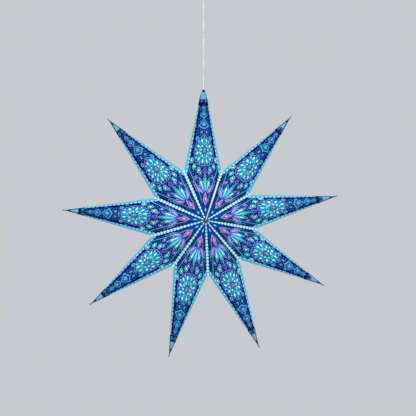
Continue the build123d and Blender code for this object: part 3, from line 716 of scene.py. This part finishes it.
def print_beads(tree, under, edge, edge_run, valley, valley_run):
    """Beaded borders: a row inside the turquoise rim of each edge, and one on each valley fold."""
    bead_pitch, edge_row, valley_row = 9.2, 9.6, 0.0
    edge_squash, valley_squash, valley_rim = 1.1, 0.85, 4.6
    rim = ((7.2, "#2494c0"), (6.0, "#58c8e4"), (1.2, "#36a8c4"))
    bead = row_spot(tree, edge_run, edge, bead_pitch, edge_row, edge_squash)
    layer = paint_bands(tree, under, bead, ((4.5, "#50bcda"), (3.2, "#aceef4")), soft=1.2)
    layer = paint_bands(tree, layer, edge, rim, soft=0.8)
    layer = paint(tree, layer, "#1678ac", valley, valley_rim)
    bead = row_spot(tree, valley_run, valley, bead_pitch, valley_row, valley_squash)
    return paint_bands(tree, layer, bead, ((4.2, "#62cade"), (3.6, "#d4fafc")), soft=0.8)


def print_seam(tree, under, seam, valley, run):
    """Bare cut card edge along the one valley where the star opens, ending short of the notch, whitened by
    painted lamplight leaking through the open seam, with a painted shadow beside it.
    """
    leak_line_width, leak_line_length, shadow_width, elsewhere = 2.6, 112.0, 1.6, 300.0
    away = add(tree, "Math", (seam, -elsewhere, elsewhere), operation="MULTIPLY_ADD")
    across = add(tree, "Math", (valley, away), operation="ADD")
    past = add(tree, "Math", (run, leak_line_length), operation="SUBTRACT")
    reach = add(tree, "Math", (across, past), operation="MAXIMUM")
    # Painted lamplight through the open seam on its cut card edge, and a painted shadow beside it
    bands = ((leak_line_width + shadow_width, "#02063a"), (leak_line_width, "#dff0f6"))
    return paint_bands(tree, under, reach, bands)


def print_tip(tree, under, spot, edge, edge_run):
    """From the tip inwards: pale point, dark cap, pale patch with dark rims, and dark band with dots."""
    cap_length, patch_end, patch_start, point_length, rim_width = 46.0, 31.0, 15.5, 5.0, 3.0
    dot_at, dot_bands = (278.0, 7.0), ((4.0, "#2a9cc4"), (2.0, "#0a6c9c"))
    layer = paint_bands(tree, under, edge_run, ((cap_length, "#060c56"), (patch_end, "#78c2e4")), soft=2.0)
    past = add(tree, "Math", (edge_run, cap_length), operation="SUBTRACT")
    inside = add(tree, "Math", (edge, rim_width), operation="SUBTRACT")
    rim = add(tree, "Math", (past, inside), operation="MAXIMUM")
    layer = paint(tree, layer, "#060c56", rim, 0.0)
    ends = ((patch_start, "#08164e"), (point_length, "#5fa8b6"))
    layer = paint_bands(tree, layer, edge_run, ends, soft=2.0)
    near, _ = round_spot(tree, spot, dot_at)
    return paint_bands(tree, layer, near, dot_bands)


def printed_card():
    """Offset print on matte card with the lamp behind it: the ink reflects, and glows most inside."""
    # Fibres are far finer than this, and are drawn coarse enough to show
    fibre_width, wave_width, wave_share = 1.5, 60.0, 12.0
    edge_least, valley_least, valley_widening = 0.06, 0.32, 75.0
    fold_width, fold_paling = 0.7, 0.2
    glow_start, glow_end, glow_inside, glow_at_tip = 170.0, 310.0, 0.49, 0.33
    material, tree, shader, place = new_finish("printed_punched_card")
    spot = add(tree, "UVMap", uv_map="print").outputs[0]
    edge, valley, _ = add(tree, "SeparateXYZ", (add(tree, "UVMap", uv_map="border"),)).outputs
    edge_run, valley_run, _ = add(tree, "SeparateXYZ", (add(tree, "UVMap", uv_map="beads"),)).outputs
    seam, _, _ = add(tree, "SeparateXYZ", (add(tree, "UVMap", uv_map="seam"),)).outputs
    edge_room = add(tree, "MapRange", {"Value": edge_run, "From Max": edge_length, "To Min": edge_least})
    valley_room = add(tree, "MapRange", {"Value": valley_run, "From Max": valley_widening,
                                         "To Min": valley_least})
    edge_inset = add(tree, "Math", (edge, edge_room), operation="DIVIDE")
    valley_inset = add(tree, "Math", (valley, valley_room), operation="DIVIDE")
    ink = print_ground(tree, spot, edge_inset, valley_inset)
    ink = print_fan(tree, ink, spot)
    ink = print_rosette(tree, ink, spot)
    ink = print_buds(tree, ink, spot)
    ink = print_diamonds(tree, ink, spot)
    ink = print_lines(tree, ink, edge_inset, edge_run, valley_inset, valley_run)
    ink = print_middle(tree, ink, spot)
    ink = print_beads(tree, ink, edge_inset, edge_run, valley_inset, valley_run)
    ink = print_fold(tree, ink, spot)
    ink = print_seam(tree, ink, seam, valley_inset, valley_run)
    ink = print_tip(tree, ink, spot, edge, edge_run)
    # A paler line along the ridge fold, palest on the fold itself
    along, off_fold, _ = add(tree, "SeparateXYZ", (spot,)).outputs
    ridge_paling = add(tree, "MapRange", {"Value": off_fold, "From Max": fold_width, "To Min": fold_paling,
                                  "To Max": 0.0})
    ink = add(tree, "MixRGB", (ridge_paling, ink, srgb("#9fd4e4")))
    fibres = add(tree, "TexNoise", {"Vector": place, "Scale": 1 / (fibre_width * MM), "Detail": 3})
    waves = add(tree, "TexNoise", {"Vector": place, "Scale": 1 / (wave_width * MM), "Detail": 1})
    relief = add(tree, "Math", (waves, wave_share, fibres), operation="MULTIPLY_ADD")
    bump = add(tree, "Bump", {"Strength": 0.25, "Distance": 0.2 * MM, "Height": relief})
    shade = add(tree, "MapRange", {"Value": fibres, "To Min": 0.42, "To Max": 0.34})
    reflected = add(tree, "MixRGB", (shade, ink, srgb("#000000")))
    glow = add(tree, "MapRange", {"Value": along, "From Min": glow_start, "From Max": glow_end,
                                  "To Min": glow_inside, "To Max": glow_at_tip})
    connect(tree, shader, {"Base Color": reflected, "Roughness": 0.7, "Specular IOR Level": 0.04,
                           "Normal": bump, "Emission Color": ink, "Emission Strength": glow})
    return material


def add_tab(mesh_maker, arm, face):
    """Adds the narrow end of a glue flange, which runs on a little past an arm's tip."""
    tab_start, tab_end, tab_width, tab_gap = -10.0, 3.0, 3.2, 0.35
    tip = spoke(tip_angle(arm), tip_radius, arm)
    along = tip.normalized()
    out = Vector((0, face, 0))
    turn = Matrix((along * (tab_end - tab_start), out.cross(along) * tab_width, out)).transposed().to_4x4()
    middle = tip + along * (tab_start + tab_end) / 2 + out * tab_gap
    tab = bmesh.ops.create_grid(mesh_maker, x_segments=1, y_segments=1, size=0.5,
                                matrix=Matrix.Translation(middle) @ turn)
    for loop in [loop for corner in tab["verts"] for loop in corner.link_loops]:
        loop[mesh_maker.loops.layers.uv["print"]].uv = (ridge_length, 1)
        loop[mesh_maker.loops.layers.uv["border"]].uv = (1, ridge_length)
        loop[mesh_maker.loops.layers.uv["beads"]].uv = (1, ridge_length)


card_print = printed_card()
to_star = Matrix.Translation(star_middle) @ Matrix.Scale(MM, 4)
for arm in range(arm_count):
    shell = bmesh.new()
    for face in (front, back):
        for side in (-1, 0):
            add_plate(shell, arm, face, side)
        if arm > 0:
            add_tab(shell, arm, face)
    bmesh.ops.remove_doubles(shell, verts=shell.verts, dist=merge_gap)
    bmesh.ops.transform(shell, verts=shell.verts, matrix=to_star)
    card = new_piece(f"printed_arm_{arm + 1}", shell, card_print, paper)
    wall = card.modifiers.new("card_thickness", "SOLIDIFY")
    wall.thickness = card_thickness * MM
    wall.offset = -1
    wall.material_offset = 1
    wall.material_offset_rim = 1
    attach(card, "star")
    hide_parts(f"arm_card_{arm + 1}")

# Seam ties: two lengths of three-ply cotton string that pull the open seam together behind the
# star. Each end is knotted on a glued paper patch, and the two meet in a knot with loose tails.
tie_places, tie_reach = (0.38, 0.8), 17.0
patch_thickness, end_knot_radius = 0.3, 1.3
string_radius, string_twist, string_steps, straight_share = 0.6, 3.4, 10, 0.6
end_coil, bow_coil = (0.7, 1.4), (1.2, 3.0)
tail_shape = ((2.5, 2, 0), (5, 6, 2), (6, 8.5, 7), (5.5, 8, 12))


def cotton_string():
    """Soft unbleached yarn with fuzzy fibres, drawn coarse enough to show."""
    fibre_width = 0.35
    material, tree, shader, place = new_finish("twisted_cotton")
    fuzz = add(tree, "TexNoise", {"Vector": place, "Scale": 1 / (fibre_width * MM), "Detail": 3})
    tint = add(tree, "MixRGB", (fuzz, srgb("#c9c1ad"), srgb("#f0ebde")))
    bump = add(tree, "Bump", {"Strength": 0.5, "Distance": 0.1 * MM, "Height": fuzz})
    connect(tree, shader, {"Base Color": tint, "Roughness": 0.92, "Sheen Weight": 0.3, "Normal": bump})
    return material


def tie_anchor(owner, side, place):
    """Top of the patch that holds one end of a tie, and the plate's outward normal."""
    apex, tip, notch = plate_points(owner, back, side)
    valley = (notch - apex).normalized()
    ridge = tip - apex
    across = (ridge - valley * ridge.dot(valley)).normalized()
    out = plate_place(apex, tip, notch).col[2].to_3d()
    return apex + (notch - apex) * place + across * tie_reach + out * patch_thickness, out


def ply_outline(radius):
    """Section of a three-ply string."""
    plies, corners, swell = 3, 12, 0.16
    turns = [2 * math.pi * k / corners for k in range(corners)]
    return [radius * (1 - swell + swell * math.cos(plies * turn)) * Vector((math.cos(turn), math.sin(turn)))
            for turn in turns]


def add_knot(mesh_maker, middle, axis, radius, length):
    """A few tight turns of string wound round an axis."""
    coils, points_each = 3, 12
    side = axis.orthogonal().normalized()
    up = axis.cross(side)
    line = []
    for k in range(coils * points_each + 1):
        turn = 2 * math.pi * k / points_each
        height = length * (k / (coils * points_each) - 0.5)
        line.append(middle + axis * height + radius * (side * math.cos(turn) + up * math.sin(turn)))
    add_tube(mesh_maker, line, ply_outline(string_radius), string_twist, axis)


down = Vector((0, 0, -1))
strings = bmesh.new()
for place in tie_places:
    anchors = [tie_anchor(arm_count - 1, 0, place), tie_anchor(arm_count, -1, place)]
    seats = [seat + out * end_knot_radius for seat, out in anchors]
    middle = (seats[0] + seats[1]) / 2
    along = (seats[1] - seats[0]).normalized()
    outward = (anchors[0][1] + anchors[1][1]).normalized()
    for seat, (_, out), hand in zip(seats, anchors, (-1, 1)):
        add_knot(strings, seat, out, *end_coil)
        route = [seat, seat.lerp(middle, straight_share), middle]
        route += [middle - along * hand * past + outward * rise + down * drop
                  for past, rise, drop in tail_shape]
        line = smooth_route(route, string_steps)
        add_tube(strings, line, ply_outline(string_radius), string_twist, outward)
    add_knot(strings, middle, along, *bow_coil)
smooth_sides(strings)
bmesh.ops.transform(strings, verts=strings.verts, matrix=to_star)
ties = new_piece("cotton_ties", strings, cotton_string())
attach(ties, "star")
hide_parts("seam_ties")

# Ceiling cup: a drafted white moulding that hides the bracket and slides on the flex, held by a
# thumb screw in its collar.
dress(moulded("cup_abs", "#e3e2de", "#efeeea", 0.46, 0.7), "canopy_cup")
dress(moulded("thumb_screw_nylon", "#dddcd8", "#ebeae6", 0.4, 0.4), "canopy_screw")

# Studio: a plain painted floor, a room's height below the ceiling fitting, that curves up all round
# into a pale backdrop, so that the lantern can be seen from below as well.
room_height, floor_radius, wall_rise = 2.7, 4.0, 5.0
sweep_radius, sweep_steps, round_steps = 1.5, 8, 64


def seen_strength(tree, plain, lift):
    """A glow of the surround: plain for the light it gives, lifted for the eye, metal and glass."""
    rays = add(tree, "LightPath").outputs
    seen = add(tree, "Math", (rays["Is Camera Ray"], rays["Is Glossy Ray"]), operation="MAXIMUM")
    seen = add(tree, "Math", (seen, rays["Is Transmission Ray"]), operation="MAXIMUM")
    return add(tree, "Math", (seen, lift, plain), operation="MULTIPLY_ADD")


def pale_floor():
    """Matte painted board with barely visible roller texture."""
    roller_width = 6.0
    material, tree, shader, place = new_finish("pale_floor_paint")
    nap = add(tree, "TexNoise", {"Vector": place, "Scale": 1 / (roller_width * MM), "Detail": 2})
    tint = add(tree, "MixRGB", (nap, srgb("#8e9195"), srgb("#94979b")))
    connect(tree, shader, {"Base Color": tint, "Roughness": 0.9, "Emission Color": srgb("#eef0f3"),
                           "Emission Strength": seen_strength(tree, plain=0.0, lift=0.49)})
    return material


floor_height = -room_height
bowl = bmesh.new()
outline = [bowl.verts.new((0, 0, floor_height))]
for k in range(sweep_steps + 1):
    turn = math.pi / 2 * k / sweep_steps
    outline.append(bowl.verts.new((floor_radius + sweep_radius * math.sin(turn), 0,
                                   floor_height + sweep_radius * (1 - math.cos(turn)))))
outline.append(bowl.verts.new((floor_radius + sweep_radius, 0, floor_height + wall_rise)))
edges = [bowl.edges.new(pair) for pair in zip(outline, outline[1:])]
bmesh.ops.spin(bowl, geom=outline + edges, angle=2 * math.pi, steps=round_steps, axis=(0, 0, 1),
               cent=(0, 0, 0), use_merge=True)
bmesh.ops.remove_doubles(bowl, verts=bowl.verts, dist=0.1 * MM)
bmesh.ops.recalc_face_normals(bowl, faces=bowl.faces)
for face in bowl.faces:
    face.smooth = True
backdrop = new_piece("backdrop", bowl, pale_floor())
backdrop.visible_shadow = False
backdrop.visible_diffuse = False

# Light: an even white surround with a broad key from the upper left, a weak fill from the right and
# a rear light that keeps the white pieces white from behind.
scene = bpy.context.scene
scene.view_settings.view_transform = "Standard"
world = bpy.data.worlds.new("studio")
scene.world = world
world.use_nodes = True
surround = world.node_tree
connect(surround, surround.nodes["Background"],
        {"Color": srgb("#f4f6fa"), "Strength": seen_strength(surround, plain=0.5, lift=0.13)})


def soft_light(name, place, size, watts):
    """Square area light aimed at the star's middle."""
    data = bpy.data.lights.new(name, "AREA")
    data.size = size
    data.energy = watts
    lamp = bpy.data.objects.new(name, data)
    lamp.location = place
    lamp.rotation_euler = (star_middle - Vector(place)).to_track_quat("-Z", "Y").to_euler()
    scene.collection.objects.link(lamp)


soft_light("key_light", (-0.3, -1.8, 1.0), size=1.8, watts=34)
soft_light("fill_light", (1.9, -1.8, -0.2), size=1.6, watts=5)
soft_light("rear_light", (0.7, 2.0, 0.9), size=1.6, watts=26)

# Camera: as in the photo, a little below the star's middle and to its left, with the middle at the
# same place in the picture.
camera_azimuth, camera_elevation, camera_distance = math.radians(-3.3), math.radians(-1.7), 2.2
photo_scale, photo_width, sensor_width = 2.203 * MM, 416, 36
star_pixel = (203.5, 221.1)
away = Vector((math.sin(camera_azimuth) * math.cos(camera_elevation),
               -math.cos(camera_azimuth) * math.cos(camera_elevation), math.sin(camera_elevation)))
right = Vector((math.cos(camera_azimuth), math.sin(camera_azimuth), 0))
aim = star_middle + right * (photo_width / 2 - star_pixel[0]) * photo_scale
aim += away.cross(right) * (star_pixel[1] - photo_width / 2) * photo_scale
lens = bpy.data.cameras.new("camera")
lens.sensor_width = sensor_width
lens.lens = sensor_width * camera_distance / (photo_width * photo_scale)
camera = bpy.data.objects.new("camera", lens)
camera.location = aim + away * camera_distance
camera.rotation_euler = (-away).to_track_quat("-Z", "Y").to_euler()
scene.collection.objects.link(camera)
scene.camera = camera
